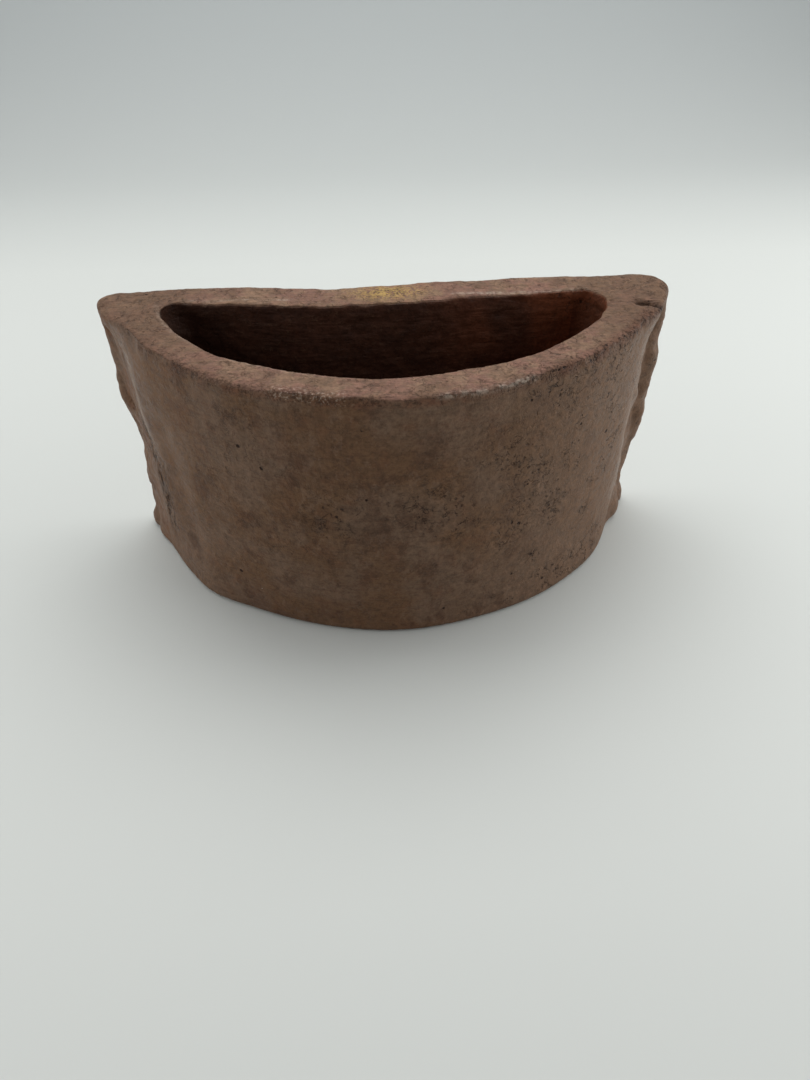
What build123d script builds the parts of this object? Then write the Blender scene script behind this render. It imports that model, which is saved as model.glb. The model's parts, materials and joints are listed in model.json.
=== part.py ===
"""Half-moon bonsai pot, hand-built from slabs of brown stoneware.

A thick flat slab with torn ends stands at the back. A long slab is bent round to its front face, and a
half-moon floor slab with two drain holes fills the foot between them. Soft coils pressed into the inside
corners bind the slabs. The pieces were luted together wet and fired, so none of them moves.

The luted pot is shaped as one lump and then cut along its seams, so that the pieces meet face to face.

Frame: millimetres, +Z up. The origin is the middle of the underside. The flat back faces +Y and the bent
wall faces -Y.
"""

import os
from math import asin, degrees, sqrt

from build123d import *

# ---- Overall size -------------------------------------------------------------------------------------
pot_width = 250.0  # across the tips of the torn ends
pot_depth = 93.0  # from the crown of the bent wall to the highest crest of the back
pot_height = 122.0  # from the foot to the flat-cut rim

# ---- Slab thicknesses ---------------------------------------------------------------------------------
back_thickness = 10.5  # back slab, at its ends
wall_thickness = 14.5  # bent wall, at the middle of its bend
wall_end_thickness = 18.0  # bent wall, towards its two ends
floor_thickness = 13.0

# ---- Bent wall ----------------------------------------------------------------------------------------
# Inside and outside it is a three-centred arch: a broad crown between two tighter cheeks.
shoulder_inset = 11.0  # the arch's widest points would stand this far inside the torn tips
arch_inset = 5.0  # and this far in front of the back's highest crest
crown_rise = 22.0  # the outer crown reaches this much further forward than its cheeks' radius
hollow_crown_rise = 17.5  # and the inner crown this much
wall_shift = -1.5  # the arch sits a little left of the slab's middle
hollow_shift = -2.0  # and the hollow a little more
flare_start = 26.5  # this far in front of the widest points, the wall's ends begin to flare
flare_inset = 6.5  # the flared ends stop this far inside the torn tips

# ---- Back slab ----------------------------------------------------------------------------------------
rear_crest = 5.0  # height of the waves pressed into the rear face
rear_end_drop = 1.7  # at both ends the rear face has dropped this far below the crest
belly_depth = 9.5  # how far the slab bulges into the hollow
belly_shift = -28.0  # where it bulges most, left of the hollow's middle
belly_radius = 120.0

# ---- Edges, seams and holes ---------------------------------------------------------------------------
rim_round = 2.0
inner_rim_round = 1.2
foot_round = 2.0  # bent wall
foot_bevel = 1.5  # back slab
corner_coil_radius = 9.0  # soft clay smoothed into the upright inside corners
floor_coil_radius = 7.0  # and round the floor
coil_lap = 1.5  # the floor coil's ends run this far up the corners
drain_radius = 8.0
drain_spacing = 90.0

# The back slab's ends at each level: share of the height, how far the left and the right torn tip stand
# inside pot_width, and how strongly the rear waves show there.
torn_levels = (
    (0.00, 2.6, 2.2, 0.4),
    (0.13, 3.4, 5.2, 0.2),
    (0.42, 4.7, 1.0, 0.4),
    (0.60, 1.0, 0.2, 0.8),
    (0.90, 0.4, 1.3, 0.7),
    (1.00, 3.0, 6.0, 1.0),
)
# The rear waves: share of the half width, and share of rear_crest below the highest crest.
rear_waves = ((0.60, 0.0), (0.20, 0.5), (-0.20, 1.0), (-0.60, 0.1))
rear_wave_middle = 0.5  # they swing about this share

# ---- Places that follow from the sizes ----------------------------------------------------------------
rear_y = pot_depth / 2
slab_end_y = rear_y - rear_end_drop
seam_y = slab_end_y - back_thickness  # the slab's front face, where all is luted on
slab_middle_y = seam_y + back_thickness / 2
arch_y = rear_y - arch_inset
wall_half_width = pot_width / 2 - shoulder_inset
wall_reach = pot_depth - arch_inset
flare_tip_half = pot_width / 2 - flare_inset
hollow_half_width = wall_half_width - wall_end_thickness
hollow_reach = wall_reach - wall_thickness
cheek_radius = wall_reach - crown_rise
hollow_cheek_radius = hollow_reach - hollow_crown_rise
drain_y = (arch_y - hollow_reach + seam_y) / 2
floor_coil_top = floor_thickness + floor_coil_radius + coil_lap


def slab_plan(share, left, right, gain):
    """Plan of the back slab at one of torn_levels."""
    left_tip = -pot_width / 2 + left
    right_tip = pot_width / 2 - right
    end_radius = back_thickness / 2
    waves = [
        (wave * pot_width / 2, rear_y - rear_crest * (rear_wave_middle + gain * (drop - rear_wave_middle)))
        for wave, drop in rear_waves
    ]
    right_rear = (right_tip - end_radius, slab_end_y)
    left_rear = (left_tip + end_radius, slab_end_y)
    with BuildSketch(Plane.XY.offset(share * pot_height)) as plan:
        with BuildLine():
            Line((left_tip + end_radius, seam_y), (right_tip - end_radius, seam_y))
            ThreePointArc((right_tip - end_radius, seam_y), (right_tip, slab_middle_y), right_rear)
            Spline(right_rear, *waves, left_rear, tangents=((-1, 0), (-1, 0)))
            ThreePointArc(left_rear, (left_tip, slab_middle_y), (left_tip + end_radius, seam_y))
        make_face()
    return plan.sketch


def arch_half(half_width, cheek, y):
    """Half the width of a three-centred arch at y."""
    return half_width - cheek + sqrt(cheek**2 - (arch_y - y) ** 2)


def arch(shift, half_width, reach, cheek, y):
    """A three-centred arch in plan, from y on its left round its crown to y on its right."""
    offset = half_width - cheek
    crown = (offset**2 + reach**2 - cheek**2) / (2 * (reach - cheek))
    turn = degrees(asin(offset / (crown - cheek)))
    drop = degrees(asin((arch_y - y) / cheek))
    CenterArc((shift, arch_y - reach + crown), crown, start_angle=270 - turn, arc_size=2 * turn)
    CenterArc((shift + offset, arch_y), cheek, start_angle=turn - 90, arc_size=90 - turn - drop)
    CenterArc((shift - offset, arch_y), cheek, start_angle=180 + drop, arc_size=90 - turn - drop)


def hollow_arch():
    """The bent wall's inner face in plan, up to the back slab."""
    arch(hollow_shift, hollow_half_width, hollow_reach, hollow_cheek_radius, seam_y)


def belly_line():
    """The back slab's front face in plan, where it bulges into the hollow."""
    belly = (hollow_shift + belly_shift, seam_y - belly_depth)
    FilletPolyline(corner_left, belly, corner_right, radius=belly_radius)


flare_y = arch_y - flare_start
flare_half = arch_half(wall_half_width, cheek_radius, flare_y)
corner_half = arch_half(hollow_half_width, hollow_cheek_radius, seam_y)
corner_left = (hollow_shift - corner_half, seam_y)
corner_right = (hollow_shift + corner_half, seam_y)

# ---- The back slab before luting: torn ends and a wavy rear ----------------------------------------------
with BuildPart() as torn_slab:
    loft([slab_plan(*level) for level in torn_levels], ruled=True)
    fillet(torn_slab.faces().sort_by(Axis.Z)[-1].edges(), rim_round)
    chamfer(torn_slab.faces().sort_by(Axis.Z)[0].edges(), foot_bevel)

# ---- The bend before it is hollowed: both ends flare out and run into the torn ends of the back ---------
with BuildPart() as solid_bend:
    with BuildSketch():
        with BuildLine():
            arch(wall_shift, wall_half_width, wall_reach, cheek_radius, flare_y)
            flares = [
                Line(
                    (wall_shift + side * flare_half, flare_y),
                    (wall_shift + side * flare_tip_half, slab_middle_y),
                )
                for side in (-1, 1)
            ]
            Polyline(
                flares[0] @ 1,
                (corner_left[0], seam_y + rim_round),
                (corner_right[0], seam_y + rim_round),
                flares[1] @ 1,
            )
        make_face()
    extrude(amount=pot_height)
    for face, radius in (
        (solid_bend.faces().sort_by(Axis.Z)[-1], rim_round),
        (solid_bend.faces().sort_by(Axis.Z)[0], foot_round),
    ):
        fillet(face.edges().filter_by(lambda edge: edge.center().Y < seam_y), radius)

# ---- The open space inside, from the floor to the rim ----------------------------------------------------
with BuildPart() as inside:
    with BuildSketch(Plane.XY.offset(floor_thickness)) as inside_plan:
        with BuildLine():
            hollow_arch()
            belly_line()
        make_face()
        fillet(inside_plan.vertices().sort_by(Axis.Y)[-2:], corner_coil_radius)
    extrude(amount=pot_height - floor_thickness)
    fillet(inside.faces().sort_by(Axis.Z)[0].edges(), floor_coil_radius)

# ---- The luted pot as one lump, its inner rim edge rounded all the way round ------------------------------
with BuildPart() as lump:
    add(torn_slab.part)
    add(solid_bend.part)
    add(inside.part, mode=Mode.SUBTRACT)
    fillet(lump.faces().sort_by(Axis.Z)[-1].inner_wires()[0].edges(), inner_rim_round)

# ---- Back slab: the lump without all that stands in front of the seam and the belly ----------------------
with BuildPart() as back_slab:
    add(lump.part)
    with BuildSketch():
        with BuildLine():
            belly_line()
            Polyline(
                corner_left,
                (-pot_width, seam_y),
                (-pot_width, -pot_depth),
                (pot_width, -pot_depth),
                (pot_width, seam_y),
                corner_right,
            )
        make_face()
    extrude(amount=pot_height, mode=Mode.SUBTRACT)

# ---- Bent wall: the lump in front of the seam, without the hollow ----------------------------------------
with BuildPart() as front_wall:
    add(lump.part)
    split(bisect_by=Plane((0, seam_y, 0), z_dir=(0, 1, 0)), keep=Keep.BOTTOM)
    with BuildSketch():
        with BuildLine():
            hollow_arch()
            Line(corner_left, corner_right)
        make_face()
    extrude(amount=pot_height, mode=Mode.SUBTRACT)

# ---- What lies in the hollow: the floor, and the soft clay smoothed into the inside corners --------------
with BuildPart() as filling:
    add(lump.part)
    with BuildSketch():
        Rectangle(2 * pot_width, 2 * pot_width)
        with BuildLine():
            hollow_arch()
            belly_line()
        make_face(mode=Mode.SUBTRACT)
    extrude(amount=pot_height, mode=Mode.SUBTRACT)

with BuildPart() as floor_slab:
    add(filling.part)
    split(bisect_by=Plane.XY.offset(floor_thickness), keep=Keep.BOTTOM)
    with Locations((hollow_shift, drain_y, floor_thickness)):
        with GridLocations(drain_spacing, 1, 2, 1):
            Hole(drain_radius)

with BuildPart() as floor_coil:
    add(filling.part)
    split(bisect_by=Plane.XY.offset(floor_thickness), keep=Keep.TOP)
    split(bisect_by=Plane.XY.offset(floor_coil_top), keep=Keep.BOTTOM)

with BuildPart() as corner_coil_left:
    add(filling.part)
    split(bisect_by=Plane.XY.offset(floor_coil_top), keep=Keep.TOP)
    split(bisect_by=Plane.YZ.offset(hollow_shift), keep=Keep.BOTTOM)

with BuildPart() as corner_coil_right:
    add(filling.part)
    split(bisect_by=Plane.XY.offset(floor_coil_top), keep=Keep.TOP)
    split(bisect_by=Plane.YZ.offset(hollow_shift), keep=Keep.TOP)

# ---- Export ----------------------------------------------------------------------------------------------
back_slab.part.label = "back_slab"
front_wall.part.label = "front_wall"
floor_slab.part.label = "floor_slab"
floor_coil.part.label = "floor_coil"
corner_coil_left.part.label = "corner_coil_left"
corner_coil_right.part.label = "corner_coil_right"

os.makedirs("parts", exist_ok=True)
export_step(back_slab.part, "parts/back_slab.step")
export_step(front_wall.part, "parts/front_wall.step")
export_step(floor_slab.part, "parts/floor_slab.step")
export_step(floor_coil.part, "parts/floor_coil.step")
export_step(corner_coil_left.part, "parts/corner_coil_left.step")
export_step(corner_coil_right.part, "parts/corner_coil_right.step")
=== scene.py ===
"""Looks of the half-moon bonsai pot: hand-built brown clay on a pale studio floor.

The CAD solids are joined into one lump, which is sculpted as a potter would leave it and then cut along the
same seams into the pieces that stand for the CAD nodes. Lengths in the clay's shape and finish are in
millimetres.
"""

import json
from math import asin, cos, pi, radians, sin
from types import SimpleNamespace

import bmesh
import bpy
import numpy as np
from mathutils import Matrix, Vector, noise


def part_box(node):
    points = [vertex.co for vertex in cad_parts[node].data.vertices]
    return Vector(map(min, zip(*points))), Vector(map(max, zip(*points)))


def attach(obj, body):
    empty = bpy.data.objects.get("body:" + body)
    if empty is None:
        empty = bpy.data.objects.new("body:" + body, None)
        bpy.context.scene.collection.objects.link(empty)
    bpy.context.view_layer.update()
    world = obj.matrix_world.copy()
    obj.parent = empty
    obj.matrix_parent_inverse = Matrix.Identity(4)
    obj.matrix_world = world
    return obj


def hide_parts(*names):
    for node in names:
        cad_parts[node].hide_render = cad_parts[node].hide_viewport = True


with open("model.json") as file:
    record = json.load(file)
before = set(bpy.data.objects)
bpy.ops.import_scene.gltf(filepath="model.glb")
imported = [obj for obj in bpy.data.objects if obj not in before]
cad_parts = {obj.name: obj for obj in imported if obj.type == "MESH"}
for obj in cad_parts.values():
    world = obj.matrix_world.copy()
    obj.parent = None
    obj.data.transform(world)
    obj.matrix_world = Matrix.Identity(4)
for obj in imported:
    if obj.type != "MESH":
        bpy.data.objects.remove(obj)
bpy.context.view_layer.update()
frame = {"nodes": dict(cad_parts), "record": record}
MM = 0.001


# ---- Places taken from the frame, in millimetres ------------------------------------------------------
def in_mm(box):
    """The lowest and the highest corner of a box in metres, in millimetres."""
    return [np.array(corner) / MM for corner in box]


rear_y, rim_z = in_mm(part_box("back_slab"))[1][1:]
seam_y = in_mm(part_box("front_wall"))[1][1]
floor_low, floor_high = in_mm(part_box("floor_slab"))
floor_z = floor_high[2]
coil_z = in_mm(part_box("floor_coil"))[1][2]
hollow_left = floor_low[0]
hollow_right = floor_high[0]

# ---- The bent wall's two three-centred arches, as in the part ------------------------------------------
ARCH_Y = rear_y - 5.0
OUTER_ARCH = {"shift": -1.5, "half": 114.0, "reach": 88.0, "cheek": 66.0}
INNER_ARCH = {"shift": -2.0, "half": 96.0, "reach": 73.5, "cheek": 56.0}
ARCH_POINTS = 61  # points round an arch that is used as a knife
BELLY = (-30.0, seam_y - 9.5)  # where the back slab bulges most into the hollow
CORNER_REACH = 14.0  # the clay smoothed into the upright corners reaches this far


def arch_sizes(half, reach, cheek):
    """How far an arch's cheeks stand off its middle, the crown's radius and half the crown's angle."""
    offset = half - cheek
    crown = (offset**2 + reach**2 - cheek**2) / (2 * (reach - cheek))
    return offset, crown, asin(offset / (crown - cheek))


def arch_depth(points, shift, half, reach, cheek):
    """How far each point lies inside an arch, seen from above; negative outside it."""
    offset, crown, turn = arch_sizes(half, reach, cheek)
    x = points[:, 0] - shift
    y = points[:, 1] - ARCH_Y
    crown_y = y + reach - crown
    in_crown = np.abs(np.arctan2(x, -crown_y)) < turn
    return np.where(in_crown, crown - np.hypot(x, crown_y), cheek - np.hypot(np.abs(x) - offset, y))


def arch_outline(grow, shift, half, reach, cheek):
    """Points round an arch from its right end to its left, grown outwards."""
    offset, crown, turn = arch_sizes(half, reach, cheek)
    drop = asin((ARCH_Y - seam_y - grow) / cheek)
    points = []
    for angle in np.linspace(-drop, drop - pi, ARCH_POINTS):
        if abs(angle + pi / 2) < turn:
            middle, radius = (shift, ARCH_Y - reach + crown), crown + grow
        else:
            middle, radius = (shift + offset * np.sign(cos(angle)), ARCH_Y), cheek + grow
        points.append((middle[0] + radius * cos(angle), middle[1] + radius * sin(angle)))
    return points


# ---- Soft steps, spots and noise --------------------------------------------------------------------------
def ramp(values, start, end):
    """0 at start and 1 at end, with a smooth turn at both."""
    t = np.clip((values - start) / (end - start), 0, 1)
    return t * t * (3 - 2 * t)


def glow(distance, width):
    """1 where the distance is 0, fading out over the width."""
    return np.exp(-((distance / width) ** 2))


def oval(x, y, middle, reach):
    """1 in the middle of an upright oval shaft, fading out over its reach in x and y."""
    return np.exp(-(((x - middle[0]) / reach[0]) ** 2) - ((y - middle[1]) / reach[1]) ** 2)


def near_line(points, line):
    """Distance from each point to a line through several places."""
    nearest = np.full(len(points), np.inf)
    for start, end in zip(line[:-1], line[1:]):
        start = np.array(start)
        step = np.array(end) - start
        along = np.clip(((points - start) @ step) / (step @ step), 0, 1)
        away = np.linalg.norm(points - start - along[:, None] * step, axis=1)
        nearest = np.minimum(nearest, away)
    return nearest


SEED_STEP = 37.7  # how far apart the noises of two seeds are taken


def rough(points, size, octaves=3, seed=0, squeeze=(1, 1, 1)):
    """Fractal noise of about -1 to 1 whose largest lumps are size millimetres long."""
    scaled = points * (np.array(squeeze) / size) + SEED_STEP * seed
    return np.array([noise.fractal(p, 1.0, 2.0, octaves) for p in scaled.tolist()])


# ---- Camera ---------------------------------------------------------------------------------------------
CAMERA_PLACE = (-20.9, -293.1, 278.1)
CAMERA_LENS = 27.32  # focal length on a sensor 36 mm wide


def add_camera():
    """Looks down at the front wall from a little left of its middle."""
    pitch, yaw, roll = radians(42.09), radians(4.715), radians(0.145)
    ahead = Vector((cos(pitch) * sin(yaw), cos(pitch) * cos(yaw), -sin(pitch)))
    level = Vector((cos(yaw), -sin(yaw), 0))
    right = level * cos(roll) + level.cross(ahead) * sin(roll)
    up = right.cross(ahead)
    data = bpy.data.cameras.new("camera")
    data.sensor_width = 36
    data.lens = CAMERA_LENS
    data.clip_start = 0.01
    camera = bpy.data.objects.new("camera", data)
    turn = Matrix((right, up, -ahead)).transposed().to_4x4()
    camera.matrix_world = Matrix.Translation(Vector(CAMERA_PLACE) * MM) @ turn
    bpy.context.scene.collection.objects.link(camera)
    bpy.context.scene.camera = camera


# ---- What the potter's hands left on the clay ---------------------------------------------------------
CLAY_VOXEL = 0.9  # length of the sculpted skin's faces
WELD = 0.01  # points of the CAD meshes that lie closer than this become one
LUTING_STROKES = 70  # how often the outer seams are smoothed over
HAIR = 0.05  # the solids grow by this much before they are joined
LEAN = 2.2  # how far the back slab leans away at the rim
LEAN_START = 30.0  # the height from which it leans
SWELL_FALL = 1.5  # how fast swellings fade beyond their reach
DENT_FALL = 1.6  # and dents and creases beyond their width
# Swellings of the outline: where, how far they reach in plan and in height, and how much they stand out.
SWELLINGS = (
    ((113.0, 17.0, 122.0), 13.0, 15.0, 6.0),
    ((-115.0, 24.0, 122.0), 11.0, 16.0, 2.4),
    ((-108.0, 8.0, 122.0), 11.0, 12.0, -2.6),
    ((-96.0, -6.0, 122.0), 12.0, 12.0, -1.2),
    ((-119.0, 48.0, 122.0), 9.0, 16.0, -2.6),
    ((-72.0, 31.0, 122.0), 13.0, 16.0, -1.3),
    ((-54.0, 29.0, 122.0), 13.0, 16.0, -1.5),
    ((-36.0, 27.5, 122.0), 13.0, 16.0, -1.2),
    ((-16.0, 28.0, 122.0), 13.0, 16.0, -0.9),
    ((-66.0, -30.0, 120.0), 22.0, 14.0, 1.2),
    ((56.0, -33.0, 120.0), 22.0, 18.0, -1.0),
    ((-88.0, -16.0, 0.0), 22.0, 28.0, 3.3),
    ((-117.0, 29.0, 0.0), 12.0, 12.0, 3.5),
    ((0.0, -46.0, 0.0), 34.0, 14.0, 1.2),
    ((92.0, -6.0, 0.0), 22.0, 14.0, 1.6),
    ((116.0, 25.0, 6.0), 9.0, 13.0, 7.5),
    ((-70.0, -10.0, 122.0), 14.0, 12.0, -2.2),
    ((23.0, -29.0, 122.0), 16.0, 12.0, 1.9),
    ((108.0, 49.0, 122.0), 9.0, 14.0, 4.0),
    ((122.0, 47.0, 122.0), 8.0, 18.0, -3.4),
    ((120.0, 33.0, 122.0), 7.0, 16.0, 3.6),
    ((120.5, 33.0, 90.0), 9.0, 22.0, 1.6),
    ((66.0, -26.0, 0.0), 34.0, 12.0, 1.6),
    ((92.0, 46.0, 122.0), 30.0, 14.0, 0.9),
    ((-60.0, 46.0, 122.0), 50.0, 12.0, 0.8),
    ((-96.0, 31.0, 122.0), 8.0, 12.0, -4.4),
    ((-117.0, 34.0, 122.0), 9.0, 15.0, 4.0),
    ((114.5, 30.0, 122.0), 9.0, 15.0, 4.0),
)
# Dents and pits: where, how wide and how deep.
DENTS = (
    ((-121.8, 33.0, 110.0), 3.2, 1.8),
    ((-101.5, 0.0, 119.0), 2.4, 1.6),
    ((-76.0, -12.5, 122.0), 2.0, 0.8),
    ((-64.5, -17.5, 122.0), 2.2, 0.9),
    ((-58.5, -25.5, 122.0), 2.0, 0.8),
    ((-39.0, -41.0, 115.3), 1.4, 0.9),
    ((-53.0, -36.0, 88.6), 1.6, 0.9),
    ((92.6, 23.5, 122.0), 1.9, 1.2),
    ((89.5, 12.0, 122.0), 2.2, 0.9),
    ((97.0, 2.0, 122.0), 2.6, 1.1),
    ((122.5, 35.0, 91.0), 3.0, 1.6),
    ((7.3, -46.0, 72.3), 1.5, 0.7),
    ((38.3, -40.0, 43.3), 2.0, 0.8),
    ((41.5, -39.0, 46.0), 1.6, 0.7),
    ((40.5, -39.5, 92.1), 1.5, 0.6),
)
# The crack in the rim's right corner.
CRACK = ((103.5, 20.5, 122.0), (109.0, 19.0, 122.0), (114.0, 17.0, 121.5), (119.0, 15.5, 116.0))
# Creases: points along them, how wide they are, how far they sink in, and how much painted shade lies in
# them.
CREASES = (
    (CRACK, 1.7, 4.6, 1.2),
    (((-42.4, -39.8, 64.5), (-26.0, -44.0, 60.5), (-8.2, -46.3, 60.5)), 2.4, 0.6, 0.25),
    (((-99.0, -2.0, 82.0), (-96.5, -5.0, 53.5), (-93.0, -8.5, 28.0)), 9.0, 1.5, 0.0),
)
# Where the potter's thumb has burnished the clay, with a painted sheen along it: the upright ridges.
BURNISHED = (
    ((107.5, 15.0, 116.0), (107.0, 14.0, 20.0)),
    ((-111.0, 18.0, 116.0), (-109.5, 15.0, 80.0), (-101.0, 0.0, 58.0)),
)
# Rubbed, glossy stretches of the rim's edges, with a painted highlight along them, and how wide they are.
RUBBED = (
    (((12.0, -46.0, 121.5), (30.0, -42.5, 121.5), (48.0, -36.0, 121.5)), 1.3),
    (((26.0, 32.5, 122.0), (52.0, 33.5, 122.0), (84.0, 34.5, 122.0)), 0.9),
    (((-88.0, 35.0, 122.0), (-64.0, 34.0, 122.0), (-42.0, 32.5, 122.0)), 0.45),
)
# Patches where the skin of the clay is broken by pits and short cracks: where and how wide.
PITTED = (
    ((38.0, -40.0, 43.0), 6.0),
    ((46.0, -36.0, 52.0), 8.0),
    ((7.0, -46.0, 72.0), 13.0),
    ((22.0, -44.0, 62.0), 10.0),
    ((40.0, -39.5, 92.0), 9.0),
    ((52.0, -34.0, 74.0), 12.0),
    ((-28.0, -43.0, 66.0), 12.0),
    ((62.0, -29.0, 116.0), 16.0),
    ((88.0, -8.0, 112.0), 14.0),
    ((104.0, 10.0, 92.0), 9.0),
)
# A streak of torn clay, full of short upright cracks.
SCAR = ((-111.0, 17.0, 71.0), (-106.5, 8.5, 60.0), (-106.0, 7.5, 41.0), (-105.0, 6.0, 27.0))


def from_middle(points):
    """How far each point lies to the left or the right of the bent wall's middle."""
    return np.abs(points[:, 0] - OUTER_ARCH["shift"])


def near_rim(points):
    """1 at the rim and 0 some way below it."""
    return ramp(points[:, 2], rim_z - 6, rim_z - 2)


def zones(points, normals):
    """How much each point belongs to the rim, the hollow and the torn ends."""
    hollow = ramp(arch_depth(points, **INNER_ARCH), -3.0, -0.5)
    top = ramp(points[:, 2], rim_z - 4.0, rim_z - 1.5) * ramp(normals[:, 2], 0.45, 0.8)
    torn = ramp(from_middle(points), 105.0, 112.0) * ramp(points[:, 1], 9.0, 18.0)
    inside = hollow * (1 - top) * ramp(points[:, 1], rear_y - 1.0, rear_y - 9.0) * ramp(points[:, 2], 6, 12)
    return top, inside, torn * (1 - top)


def hand_marks(points, normals):
    """How far hands and tools pushed each point outwards: waves, chips, ragged ends and the scar."""
    top, inside, torn = zones(points, normals)
    outside = (1 - top) * (1 - inside)
    x, y, z = points.T
    push = 0.7 * rough(points, 60, 2, 1) + 0.3 * rough(points, 18, 3, 2)
    push += outside * 0.18 * rough(points, 9, 3, 3, (1, 1, 2.5))
    push += top * (0.45 * rough(points, 20, 3, 4) + 0.25 * rough(points, 5, 3, 5))

    # The rim's outer edge is chipped, most of all at the right, and rolled over a little at the left.
    edge = glow(arch_depth(points, **OUTER_ARCH), 3) * near_rim(points) * ramp(y, 22, 12)
    chips = np.abs(rough(points, 7, 3, 9))
    push -= edge * chips * (0.3 + 1.3 * ramp(x, 40, 80))
    push += edge * 0.5 * ramp(x, -90, -70) * ramp(x, 10, -10)

    # The hollow's pressed walls and the waves of the rear face.
    push += inside * 0.75 * np.abs(rough(points, 16, 3, 6, (1, 1, 1.8)))
    rear = ramp(normals[:, 1], 0.5, 0.9) * outside
    creased = np.abs(rough(points, 24, 3, 11, (0.4, 1, 2)))
    push += rear * (0.8 * rough(points, 34, 2, 10, (1, 1, 0.6)) - 0.5 * creased)

    torn = torn * ramp(z, rim_z + 4, rim_z - 16)
    ragged = np.abs(rough(points, 26, 3, 7, (1, 1, 0.8)))
    push += torn * (2.8 * ragged - 0.6 + 0.45 * rough(points, 6, 3, 8))
    push -= glow(near_line(points, SCAR), 5) * 1.3 * np.abs(rough(points, 4, 3, 12, (1, 1, 0.35)))
    return push


def sculpt(points, normals):
    """Moves the lump's points, in millimetres, to where the potter's hands and tools left them."""
    foot = ramp(points[:, 2], 0.5, 6.0)  # the underside stays flat
    moved = points + normals * (hand_marks(points, normals) * foot)[:, None]
    for place, reach, height, amount in SWELLINGS:
        away = np.hypot(points[:, 0] - place[0], points[:, 1] - place[1]) / reach
        level = (points[:, 2] - place[2]) / height
        swell = amount * np.exp(-SWELL_FALL * away**2 - SWELL_FALL * level**2)
        moved[:, :2] += normals[:, :2] * swell[:, None]
    for place, width, depth in DENTS:
        away = np.linalg.norm(moved - np.array(place), axis=1) / width
        moved -= normals * (depth * np.exp(-DENT_FALL * away**2))[:, None]
    for line, width, depth, _ in CREASES:
        away = near_line(moved, line) / width
        moved -= normals * (depth * np.exp(-DENT_FALL * away**2))[:, None]
    in_slab = ramp(points[:, 1], seam_y - 6, seam_y + 3)
    moved[:, 1] += LEAN * ramp(points[:, 2], LEAN_START, rim_z) * in_slab
    moved[:, 2] = np.clip(moved[:, 2], 0, None)
    return moved


def mesh_points(mesh, name="co", owner="vertices"):
    """The mesh's points or normals as rows of three."""
    items = getattr(mesh, owner)
    values = np.empty(len(items) * 3, np.float32)
    items.foreach_get(name, values)
    return values.reshape(-1, 3).astype(float)


def apply_modifier(obj, kind, **settings):
    """Runs one modifier on an object and keeps its result as the mesh."""
    modifier = obj.modifiers.new(kind.lower(), kind)
    for key, value in settings.items():
        setattr(modifier, key, value)
    shaped = bpy.data.meshes.new_from_object(obj.evaluated_get(bpy.context.evaluated_depsgraph_get()))
    obj.modifiers.clear()
    obj.data = shaped


def press_luting(lump):
    """Presses the clay over the outer seams, where the bent wall's ends run into the torn slab."""
    points = mesh_points(lump.data) / MM
    ends = ramp(from_middle(points), 106.0, 112.0) * ramp(points[:, 1], 18.0, 27.0)
    ends *= ramp(points[:, 2], 1.0, 8.0) * ramp(rim_z - points[:, 2], 1.5, 9.0)
    group = lump.vertex_groups.new(name="luting")
    for index in np.flatnonzero(ends > 0.02).tolist():
        group.add([index], float(ends[index]), "REPLACE")
    apply_modifier(lump, "SMOOTH", iterations=LUTING_STROKES, factor=0.6, vertex_group="luting")
    lump.vertex_groups.clear()


def join_solids():
    """The CAD solids in one mesh, a hair thicker so that they merge where they meet."""
    joined = bmesh.new()
    for cad_node in frame["nodes"].values():
        joined.from_mesh(cad_node.data)
    bmesh.ops.remove_doubles(joined, verts=joined.verts, dist=WELD * MM)
    joined.normal_update()
    for vertex in joined.verts:
        vertex.co += vertex.normal * (HAIR * MM)
    mesh = bpy.data.meshes.new("clay_lump")
    joined.to_mesh(mesh)
    joined.free()
    return mesh


def make_lump():
    """The luted pot as one evenly meshed, sculpted skin."""
    lump = bpy.data.objects.new("clay_lump", join_solids())
    bpy.context.scene.collection.objects.link(lump)
    apply_modifier(lump, "REMESH", mode="VOXEL", voxel_size=CLAY_VOXEL * MM)
    press_luting(lump)
    apply_modifier(lump, "SMOOTH", iterations=1, factor=0.5)
    points = mesh_points(lump.data) / MM
    normals = mesh_points(lump.data, "vector", "vertex_normals")
    moved = sculpt(points, normals) * MM
    lump.data.vertices.foreach_set("co", moved.astype(np.float32).ravel())
    lump.data.update()
    return lump


# ---- Cutting the lump into its pieces -------------------------------------------------------------------
BITE = 2.5  # the knives go this far into the walls, so that no sculpted chip stays on the wrong side
COIL_STOP = 6.0  # the corners' soft clay is smoothed into the rim this far below its top
OPEN_Y = 18.0  # lies in the open hollow, in front of the back slab's belly
BELOW, ABOVE = -5.0, 200.0  # heights clear of the foot and of the rim
BESIDE, BEHIND = 200.0, 100.0  # places clear of the pot's ends and of its rear


def knife(outline, low, high):
    """An upright prism to cut with."""
    shape = bmesh.new()
    base = shape.faces.new([shape.verts.new((x * MM, y * MM, low * MM)) for x, y in outline])
    raised = bmesh.ops.extrude_face_region(shape, geom=[base])["geom"]
    bmesh.ops.translate(
        shape,
        vec=(0, 0, (high - low) * MM),
        verts=[item for item in raised if isinstance(item, bmesh.types.BMVert)],
    )
    bmesh.ops.recalc_face_normals(shape, faces=shape.faces)
    mesh = bpy.data.meshes.new("knife")
    shape.to_mesh(mesh)
    shape.free()
    obj = bpy.data.objects.new("knife", mesh)
    bpy.context.scene.collection.objects.link(obj)
    return obj


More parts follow.
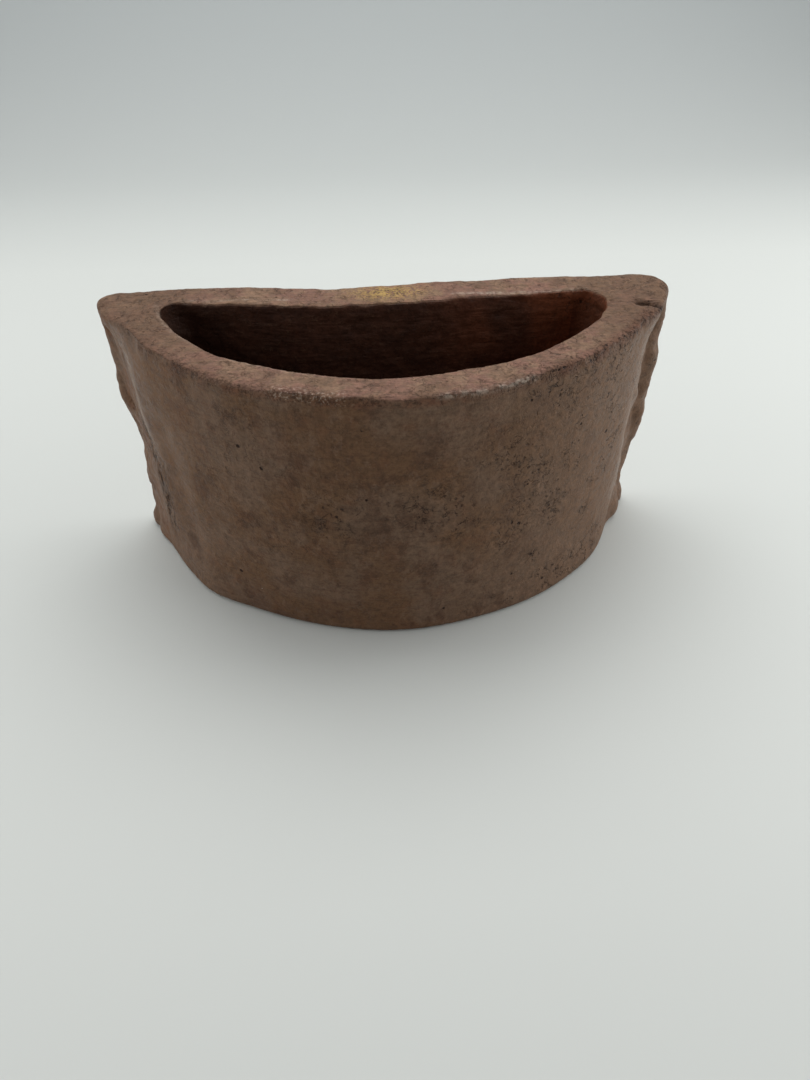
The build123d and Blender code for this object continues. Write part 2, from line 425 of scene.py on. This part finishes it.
def cut(lump, blade, name):
    """Takes what lies inside the blade off the lump, as a piece of its own."""
    piece = bpy.data.objects.new(name, lump.data.copy())
    bpy.context.scene.collection.objects.link(piece)
    apply_modifier(piece, "BOOLEAN", operation="INTERSECT", solver="MANIFOLD", object=blade)
    apply_modifier(lump, "BOOLEAN", operation="DIFFERENCE", solver="MANIFOLD", object=blade)
    bpy.data.objects.remove(blade)
    return piece


def corner_outline(side, edge):
    """Plan of the clay in an upright corner; side is -1 at the left and 1 at the right."""
    outer = edge + side * BITE
    inner = edge - side * CORNER_REACH
    return [(outer, seam_y + BITE), (outer, seam_y - CORNER_REACH), (inner, OPEN_Y), (inner, seam_y + BITE)]


def back_outline():
    """Plan of all that lies behind the seam, and of the belly in front of it."""
    return [
        (-BESIDE, seam_y),
        (hollow_left, seam_y),
        (hollow_left + CORNER_REACH, OPEN_Y),
        (hollow_right - CORNER_REACH, OPEN_Y),
        (hollow_right, seam_y),
        (BESIDE, seam_y),
        (BESIDE, BEHIND),
        (-BESIDE, BEHIND),
    ]


def cut_pieces(lump):
    """The lump's pieces by the CAD node that each stands for; what is left last is the front wall."""
    hollow = arch_outline(BITE, **INNER_ARCH) + [(BELLY[0], BELLY[1] + BITE)]
    pieces = {
        "floor_slab": cut(lump, knife(hollow, BELOW, floor_z), "clay_floor"),
        "floor_coil": cut(lump, knife(hollow, BELOW, coil_z), "clay_floor_coil"),
    }
    for side, name, edge in ((-1, "corner_coil_left", hollow_left), (1, "corner_coil_right", hollow_right)):
        blade = knife(corner_outline(side, edge), coil_z - 1, rim_z - COIL_STOP)
        pieces[name] = cut(lump, blade, "clay_" + name)
    pieces["back_slab"] = cut(lump, knife(back_outline(), BELOW, ABOVE), "clay_back_slab")
    lump.name = "clay_front_wall"
    pieces["front_wall"] = lump
    return pieces


# ---- Where the clay's colours and marks lie ---------------------------------------------------------------
def paint(red, green, blue):
    """A colour named by its usual 0 to 255 values, as a shader takes it."""
    return tuple(
        value / 255 / 12.92 if value <= 10 else ((value / 255 + 0.055) / 1.055) ** 2.4
        for value in (red, green, blue)
    ) + (1.0,)


BROWN = paint(104, 77, 56)
RED_BROWN = paint(107, 70, 50)
GREY_BROWN = paint(110, 87, 70)
DARK_BROWN = paint(80, 56, 42)
PALE_BROWN = paint(126, 102, 85)
RIM_PINK = paint(130, 97, 83)
RIM_DUST = paint(134, 107, 87)
RIM_SOOT = paint(102, 79, 62)
INSIDE_BROWN = paint(74, 46, 34)
INSIDE_RED = paint(119, 67, 43)
INSIDE_DARK = paint(60, 38, 29)
# Painted shade: the dark laid into pits, creases and the hollow's left end.
PIT = paint(38, 20, 10)
CRUMBLED = paint(87, 54, 43)
# Painted sheen on the burnished ridges.
SHEEN = paint(134, 114, 99)
# Painted highlight on the rubbed rim edges.
RUBBED_PALE = paint(170, 158, 145)
SCRATCH = paint(104, 80, 62)
OCHRE = paint(172, 142, 86)
SPECK = paint(186, 172, 156)
LIP = paint(116, 80, 59)

def mark_zones(mesh):
    """Stores on each point where the rim, the hollow, the torn ends, the odd stains, the painted highlights
    and the painted shade are.
    """
    points = mesh_points(mesh) / MM
    normals = mesh_points(mesh, "vector", "vertex_normals")
    top, inside, torn = zones(points, normals)
    outside = 1 - inside
    x, y, z = points.T
    depth_in = arch_depth(points, **OUTER_ARCH)
    high = near_rim(points)

    # Stains: burnt-on ochre and ash on the back's rim, a white crust on the front's, a red lip under it.
    ochre = high * outside * oval(x, y, (-2, 36), (14, 6))
    ash = high * outside * oval(x, y, (-28, 33), (13, 6))
    crust = ramp(z, rim_z - 4, rim_z - 2) * ramp(depth_in, 6, 1)
    crust *= ramp(x, -54, -44) * ramp(x, -14, -28) * ramp(y, 0, -20)
    lip = ramp(z, rim_z - 5, rim_z - 3) * ramp(z, rim_z - 0.8, rim_z - 2) * ramp(depth_in, 4, 1.5)
    lip *= ramp(x, -75, -55) * ramp(x, 45, 10)

    # Worn edges with their painted sheen and highlights, painted shade in the creases, and broken skin.
    # Painted shade inside the creases.
    cracks = np.zeros(len(points))
    for line, width, depth, dark in CREASES:
        cracks += dark * glow(near_line(points + (0, 0, depth / 2), line), width)
    # A painted highlight along the hollow's inner rim edge.
    inner_edge = glow(arch_depth(points, **INNER_ARCH) + 0.8, 0.9) * high * ramp(x, -5, -60)
    inner_edge *= ramp(y, seam_y + 1, seam_y - 4)
    rubbed = 0.35 * inner_edge + sum(glow(near_line(points, line), width) for line, width in RUBBED)
    burnish = sum(glow(near_line(points, line), 4.5) for line in BURNISHED) * outside
    crumbs = high * ramp(depth_in, 6, 1.5) * (0.5 + 0.5 * ramp(x, 25, 60)) * ramp(y, 20, 10)
    scar = glow(near_line(points, SCAR), 6.5) * outside
    pitted = sum(glow(np.linalg.norm(points - np.array(place), axis=1), reach) for place, reach in PITTED)
    pitted = np.clip(pitted, 0, 1) * outside

    sides = ramp(np.abs(x), 62, 96) * high  # the rim's two ends
    right = ramp(x, 5, 75)
    deep = ramp(x, -58, -92)  # painted shade at the hollow's left end
    for name, channels in (
        ("zones", (top, inside, torn, lip)),
        ("stains", (ochre, ash, crust, scar)),
        ("edges", (crumbs, burnish, cracks, rubbed)),
        ("wear", (pitted, sides, right, deep)),
    ):
        layer = mesh.attributes.new(name, "FLOAT_COLOR", "POINT")
        layer.data.foreach_set("color", np.stack(channels, 1).astype(np.float32).ravel())


# ---- Shader steps -----------------------------------------------------------------------------------------
def node(tree, kind, inputs=None, **settings):
    """Adds a shader node, sets it and wires its inputs."""
    made = tree.nodes.new("ShaderNode" + kind)
    for key, value in settings.items():
        setattr(made, key, value)
    for key, value in (inputs or {}).items():
        if isinstance(value, bpy.types.NodeSocket):
            tree.links.new(value, made.inputs[key])
        else:
            made.inputs[key].default_value = value
    return made


class Brush:
    """Short words for the shader steps that the clay's finish is made of."""

    def __init__(self, tree):
        self.tree = tree
        place = node(tree, "TexCoord").outputs["Object"]
        self.place = node(tree, "VectorMath", {0: place, 1: (1 / MM,) * 3}, operation="MULTIPLY").outputs[0]

    def spread(self, size, squeeze=(1, 1, 1), shift=0, place=None):
        """Places in a texture whose lumps are size millimetres long."""
        scaled = {0: place or self.place, 1: tuple(s / size for s in squeeze), 2: (shift,) * 3}
        return node(self.tree, "VectorMath", scaled, operation="MULTIPLY_ADD").outputs[0]

    def noise(self, size, detail=4, roughness=0.55, squeeze=(1, 1, 1), shift=0):
        """Fractal noise of about 0.3 to 0.7."""
        place = self.spread(size, squeeze, shift)
        settings = {"Vector": place, "Scale": 1.0, "Detail": detail, "Roughness": roughness}
        return node(self.tree, "TexNoise", settings).outputs["Fac"]

    def veins(self, size, detail, roughness, squeeze=(1, 1, 1), shift=0):
        """0 along wandering thin lines, and more beside them."""
        wander = self.math("SUBTRACT", self.noise(size, detail, roughness, squeeze, shift), 0.5)
        return self.math("ABSOLUTE", wander)

    def cells(self, size, shift=0):
        """Distance to the middle of the nearest ragged cell, and a colour for each cell."""
        ragged = node(self.tree, "TexNoise", {"Vector": self.spread(1.3), "Scale": 1.0, "Detail": 2})
        settings = {0: ragged.outputs["Color"], 1: (1.1,) * 3, 2: self.place}
        place = node(self.tree, "VectorMath", settings, operation="MULTIPLY_ADD").outputs[0]
        settings = {"Vector": self.spread(size, shift=shift, place=place), "Scale": 1.0}
        made = node(self.tree, "TexVoronoi", settings)
        return made.outputs["Distance"], made.outputs["Color"]

    def spots(self, size, share, low, high, shift=0):
        """Round spots in a share of the cells of a scattered grid, 1 in their middle."""
        distance, color = self.cells(size, shift)
        pick = node(self.tree, "SeparateColor", {"Color": color}).outputs[0]
        chosen = self.math("LESS_THAN", pick, share)
        return self.times(self.ramp(distance, high, low), chosen)

    def ramp(self, value, start, end, low=0.0, high=1.0):
        """Low up to start and high from end on, with a smooth turn at both."""
        settings = {"Value": value, "From Min": start, "From Max": end, "To Min": low, "To Max": high}
        return node(self.tree, "MapRange", settings, interpolation_type="SMOOTHSTEP").outputs["Result"]

    def math(self, operation, first, second=0.0):
        return node(self.tree, "Math", {0: first, 1: second}, operation=operation).outputs[0]

    def times(self, first, second):
        return self.math("MULTIPLY", first, second)

    def most(self, first, *others):
        for other in others:
            first = self.math("MAXIMUM", first, other)
        return first

    def mix(self, share, first, second, blend="MIX"):
        """The second colour laid over a share of the first."""
        settings = {0: share, 6: first, 7: second}
        return node(self.tree, "Mix", settings, data_type="RGBA", blend_type=blend).outputs[2]

    def layer(self, name):
        """The four channels that mark_zones stored under a name."""
        found = node(self.tree, "Attribute", attribute_name=name, attribute_type="GEOMETRY")
        split = node(self.tree, "SeparateColor", {"Color": found.outputs["Color"]})
        return (*split.outputs, found.outputs["Alpha"])


# ---- The clay's finish --------------------------------------------------------------------------------
DRY_CLAY_GLOSS = 0.13  # unglazed clay reflects little
BUMP_STRENGTH = 0.9
SHARP_EDGE = radians(60)  # edges sharper than this stay crisp


def read_marks(b):
    """The zones stored on the mesh, and the noises that several parts of the finish share."""
    m = SimpleNamespace()
    m.top, m.inside, m.torn, m.lip = b.layer("zones")
    m.ochre, m.ash, m.crust, m.scar = b.layer("stains")
    m.crumbs, m.burnish, m.cracks, m.rubbed = b.layer("edges")
    m.pitted, m.sides, m.right, m.deep = b.layer("wear")
    m.patches = b.noise(34, 3, 0.5)
    m.mottle = b.noise(9, 6, 0.62, shift=11)
    m.drag = b.noise(16, 5, 0.6, (1, 1, 9), shift=5)
    m.smear = b.noise(12, 5, 0.65, (1, 1, 0.35), shift=15)
    m.scratch = b.noise(9, 4, 0.65, (0.5, 6, 4), shift=51)
    m.coarse = b.noise(2.6, 4, 0.65, shift=9)
    m.grain = b.noise(1.0, 2, 0.6, shift=3)
    m.hairlines = b.veins(5.5, 4, 0.6, shift=61)
    return m


def broken_skin(b, m):
    """Pits and short cracks, gathered in worn patches, along crumbled edges and in the scar."""
    worn = b.times(b.ramp(b.noise(20, 3, 0.55, shift=21), 0.5, 0.62), b.ramp(m.right, 0, 1, 0.3, 0.9))
    worn = b.most(worn, m.pitted, m.crumbs, b.times(m.top, 0.45))
    worn = b.times(worn, b.ramp(b.noise(5, 3, 0.6, shift=31), 0.4, 0.56))
    small_pits = b.times(b.spots(2.5, 0.42, 0.2, 0.32, 7), worn)
    short_cracks = b.times(b.ramp(m.hairlines, 0.018, 0.006), b.times(worn, 0.8))
    lone_pits = b.times(b.spots(8.0, 0.16, 0.07, 0.12, 17), b.math("SUBTRACT", 1.0, m.inside))
    scar_cracks = b.times(b.ramp(b.veins(3.4, 4, 0.65, (1, 1, 0.35), 41), 0.04, 0.012), m.scar)
    crumbled = b.times(b.ramp(m.grain, 0.42, 0.34, 0, 0.5), m.crumbs)
    return b.most(small_pits, short_cracks, lone_pits, scar_cracks, crumbled)


def body_color(b, m):
    """Patchy brown clay, redder at the torn ends; the greyer right is a painted sheen of the side light."""
    clouds = b.noise(13, 5, 0.65, (1, 1, 0.8), shift=71)
    freckles = b.noise(5.5, 6, 0.72, (1, 1, 0.7), shift=81)
    color = b.mix(b.ramp(m.patches, 0.42, 0.62), BROWN, GREY_BROWN)
    color = b.mix(b.ramp(m.mottle, 0.48, 0.72, 0, 0.35), color, RED_BROWN)
    color = b.mix(b.ramp(m.drag, 0.5, 0.7, 0, 0.35), color, DARK_BROWN)
    color = b.mix(b.ramp(clouds, 0.5, 0.64, 0, 0.6), color, DARK_BROWN)
    color = b.mix(b.ramp(freckles, 0.52, 0.62, 0, 0.3), color, PALE_BROWN)
    color = b.mix(b.ramp(m.smear, 0.52, 0.7, 0, 0.35), color, GREY_BROWN)
    color = b.mix(b.times(m.torn, b.ramp(m.mottle, 0.4, 0.65, 0.05, 0.4)), color, RED_BROWN)
    # Painted sheen: the clay greyed towards the right, where the side light glances off it.
    return b.mix(b.times(m.right, 0.65), color, GREY_BROWN)


def rim_color(b, m):
    """Dusty pink, with soot along the drag lines and at both ends."""
    color = b.mix(b.ramp(m.mottle, 0.42, 0.6), RIM_PINK, RIM_DUST)
    color = b.mix(b.ramp(m.smear, 0.48, 0.66, 0, 0.7), color, RIM_SOOT)
    color = b.mix(b.times(m.sides, b.ramp(m.patches, 0.35, 0.6, 0.25, 0.8)), color, RIM_SOOT)
    return b.mix(b.ramp(m.scratch, 0.56, 0.66, 0, 0.55), color, RIM_SOOT)


def hollow_color(b, m):
    """Darker than the outside, red towards the right, with painted shade at the left end and a few pale
    scuffs.
    """
    color = b.mix(b.ramp(m.mottle, 0.35, 0.7), INSIDE_BROWN, INSIDE_DARK)
    color = b.mix(b.times(m.right, b.ramp(m.patches, 0.35, 0.6, 0.1, 0.9)), color, INSIDE_RED)
    scuffs = b.times(b.ramp(m.hairlines, 0.02, 0.006), b.ramp(m.scratch, 0.5, 0.62))
    color = b.mix(b.times(scuffs, 0.4), color, SCRATCH)
    # Painted shade at the hollow's left end.
    return b.mix(b.times(m.deep, 0.7), color, PIT)


def stained(b, m, color):
    """The colour with its stains and crumbled edges laid over it, and the painted sheen and highlights of
    the burnished and rubbed edges.
    """
    for share, stain in (
        (b.times(m.lip, b.ramp(m.mottle, 0.4, 0.6, 0.15, 0.7)), LIP),
        (b.times(m.crumbs, b.ramp(m.mottle, 0.35, 0.6, 0.15, 0.6)), CRUMBLED),
        (b.times(m.ochre, b.ramp(m.grain, 0.43, 0.51)), OCHRE),
        (b.times(m.ash, b.ramp(m.coarse, 0.46, 0.6, 0, 0.6)), RIM_SOOT),
        (b.times(m.crust, b.ramp(m.grain, 0.55, 0.61, 0, 0.34)), SPECK),
        # painted sheen along the burnished ridges
        (b.times(m.burnish, b.ramp(m.smear, 0.35, 0.6, 0.05, 0.4)), SHEEN),
        # painted highlight along the rubbed rim edges
        (b.times(m.rubbed, b.ramp(m.coarse, 0.4, 0.58, 0.05, 0.62)), RUBBED_PALE),
    ):
        color = b.mix(share, color, stain)
    return color


def clay_height(b, m, pits):
    """Height of the finest relief, in millimetres, for the bump."""
    height = b.math("ADD", b.times(m.mottle, 0.6), b.times(m.drag, 0.3))
    height = b.math("ADD", height, b.times(m.coarse, 0.5))
    height = b.math("ADD", height, b.times(m.grain, 0.22))
    height = b.math("ADD", height, b.times(b.times(m.scratch, b.most(m.top, m.inside)), 0.9))
    return b.math("SUBTRACT", height, b.times(pits, 0.9))


def clay_material(name, smeared=False):
    """Unglazed stoneware: patchy brown body, dusty rim, dark hollow, drag marks, pits and grog, with painted
    sheen, highlights and shade.
    """
    material = bpy.data.materials.new(name)
    material.use_nodes = True
    tree = material.node_tree
    shader = tree.nodes["Principled BSDF"]
    b = Brush(tree)
    m = read_marks(b)
    pits = broken_skin(b, m)

    color = b.mix(b.times(m.top, 0.95), body_color(b, m), rim_color(b, m))
    color = stained(b, m, b.mix(m.inside, color, hollow_color(b, m)))
    shade = b.math("ADD", b.ramp(m.grain, 0.3, 0.7, -0.1, 0.1), b.ramp(m.coarse, 0.3, 0.7, 0.8, 1.2))
    grey = node(tree, "CombineColor", {0: shade, 1: shade, 2: shade}).outputs[0]
    color = b.mix(1.0, color, grey, "MULTIPLY")
    # Painted shade in the pits and short cracks.
    color = b.mix(b.times(pits, 0.95), color, PIT)
    # Painted shade inside the creases and the rim's crack.
    color = b.mix(b.times(m.cracks, 0.85), color, PIT)
    color = b.mix(b.spots(7.0, 0.05, 0.03, 0.06, 13), color, SPECK)
    if smeared:
        color = b.mix(0.35, color, INSIDE_DARK)
    tree.links.new(color, shader.inputs["Base Color"])

    gloss = b.math("ADD", b.ramp(m.coarse, 0.35, 0.7, 0.42, 0.66), b.times(m.top, 0.06))
    gloss = b.math("SUBTRACT", gloss, b.times(b.most(m.burnish, m.rubbed), 0.12))
    tree.links.new(gloss, shader.inputs["Roughness"])
    shader.inputs["Specular IOR Level"].default_value = DRY_CLAY_GLOSS

    bump = node(tree, "Bump", {"Height": clay_height(b, m, pits), "Strength": BUMP_STRENGTH, "Distance": MM})
    tree.links.new(bump.outputs["Normal"], shader.inputs["Normal"])
    return material


# ---- Studio, in metres ------------------------------------------------------------------------------------
FLOOR_PALE = paint(207, 210, 206)
SWEEP_PALE = paint(167, 172, 172)
SWEEP_FADE = (0.35, 0.85)  # from here to here, behind the pot, the floor's colour turns into the sweep's
SWEEP_STEPS = 16
DAYLIGHT = (0.96, 0.98, 1.0, 1.0)
WORLD_LIGHT = 0.16  # how strongly the world lights the pot
WORLD_SEEN = 0.55  # and how bright it is where it is seen, straight or in a gloss
# Name, place, what it is aimed at, size, and power in watts.
LAMPS = (
    ("lamp_top", (0.0, 0.38, 0.95), (0.0, 0.05, 0.0), (1.1, 0.7), 8.6),
    ("lamp_left", (-0.75, -0.05, 0.32), (0.0, 0.0, 0.06), (0.9, 0.6), 2.9),
    ("lamp_right", (0.75, -0.05, 0.32), (0.0, 0.0, 0.06), (0.9, 0.6), 4.4),
)


def floor_mesh():
    """A broad floor that sweeps up into a backdrop."""
    width, front, bend, reach, top = 3.0, -1.6, 0.55, 0.35, 1.6
    line = [(front, 0.0), (bend, 0.0)]
    for angle in np.linspace(0, pi / 2, SWEEP_STEPS + 1)[1:]:
        line.append((bend + reach * sin(angle), reach - reach * cos(angle)))
    line.append((bend + reach, top))
    sweep = bmesh.new()
    rows = [[sweep.verts.new((side * width, y, z)) for side in (-1, 1)] for y, z in line]
    for low, high in zip(rows[:-1], rows[1:]):
        sweep.faces.new((low[0], low[1], high[1], high[0])).smooth = True
    mesh = bpy.data.meshes.new("floor")
    sweep.to_mesh(mesh)
    sweep.free()
    return mesh


def floor_material():
    """Matt and pale, a little darker where it sweeps up behind the pot."""
    material = bpy.data.materials.new("pale_floor")
    material.use_nodes = True
    tree = material.node_tree
    shader = tree.nodes["Principled BSDF"]
    position = node(tree, "NewGeometry").outputs["Position"]
    depth = node(tree, "SeparateXYZ", {0: position}).outputs[1]
    fade = {"Value": depth, "From Min": SWEEP_FADE[0], "From Max": SWEEP_FADE[1]}
    share = node(tree, "MapRange", fade).outputs["Result"]
    color = node(tree, "Mix", {0: share, 6: FLOOR_PALE, 7: SWEEP_PALE}, data_type="RGBA").outputs[2]
    tree.links.new(color, shader.inputs["Base Color"])
    shader.inputs["Roughness"].default_value = 0.75
    return material


def add_floor():
    """Stands the pot on a pale floor."""
    floor = bpy.data.objects.new("floor", floor_mesh())
    bpy.context.scene.collection.objects.link(floor)
    floor.data.materials.append(floor_material())


def add_world():
    """Soft light from all round, paler where it is seen than where it falls."""
    world = bpy.data.worlds.new("studio")
    world.use_nodes = True
    tree = world.node_tree
    background = tree.nodes["Background"]
    background.inputs["Color"].default_value = DAYLIGHT
    rays = node(tree, "LightPath").outputs
    seen = rays["Is Camera Ray"]
    for kind in ("Is Glossy Ray", "Is Transmission Ray"):
        seen = node(tree, "Math", {0: seen, 1: rays[kind]}, operation="MAXIMUM").outputs[0]
    shown = {"Value": seen, "To Min": WORLD_LIGHT, "To Max": WORLD_SEEN}
    tree.links.new(node(tree, "MapRange", shown).outputs["Result"], background.inputs["Strength"])
    bpy.context.scene.world = world


def add_lamps():
    """A broad lamp overhead and a softer one at each side."""
    for name, place, aim, size, power in LAMPS:
        lamp = bpy.data.lights.new(name, "AREA")
        lamp.shape = "RECTANGLE"
        lamp.size, lamp.size_y = size
        lamp.energy = power
        obj = bpy.data.objects.new(name, lamp)
        obj.location = place
        obj.rotation_euler = (Vector(aim) - Vector(place)).to_track_quat("-Z", "Y").to_euler()
        obj.visible_camera = False
        bpy.context.scene.collection.objects.link(obj)


# ---- Putting it together ----------------------------------------------------------------------------------
bpy.context.scene.view_settings.view_transform = "Standard"
add_camera()
add_floor()
add_world()
add_lamps()
record_slots = {part["node"]: part["material_slot"] for part in frame["record"]["subparts"]}
clays = {"clay": clay_material("clay"), "smeared_clay": clay_material("smeared_clay", smeared=True)}
for cad_node in frame["nodes"].values():
    cad_node.data.materials.clear()
    cad_node.data.materials.append(clays["clay"])
for cad_name, piece in cut_pieces(make_lump()).items():
    mark_zones(piece.data)
    piece.data.shade_smooth()
    piece.data.set_sharp_from_angle(angle=SHARP_EDGE)
    piece.data.materials.clear()
    piece.data.materials.append(clays[record_slots[cad_name]])
    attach(piece, "root")
    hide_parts(cad_name)
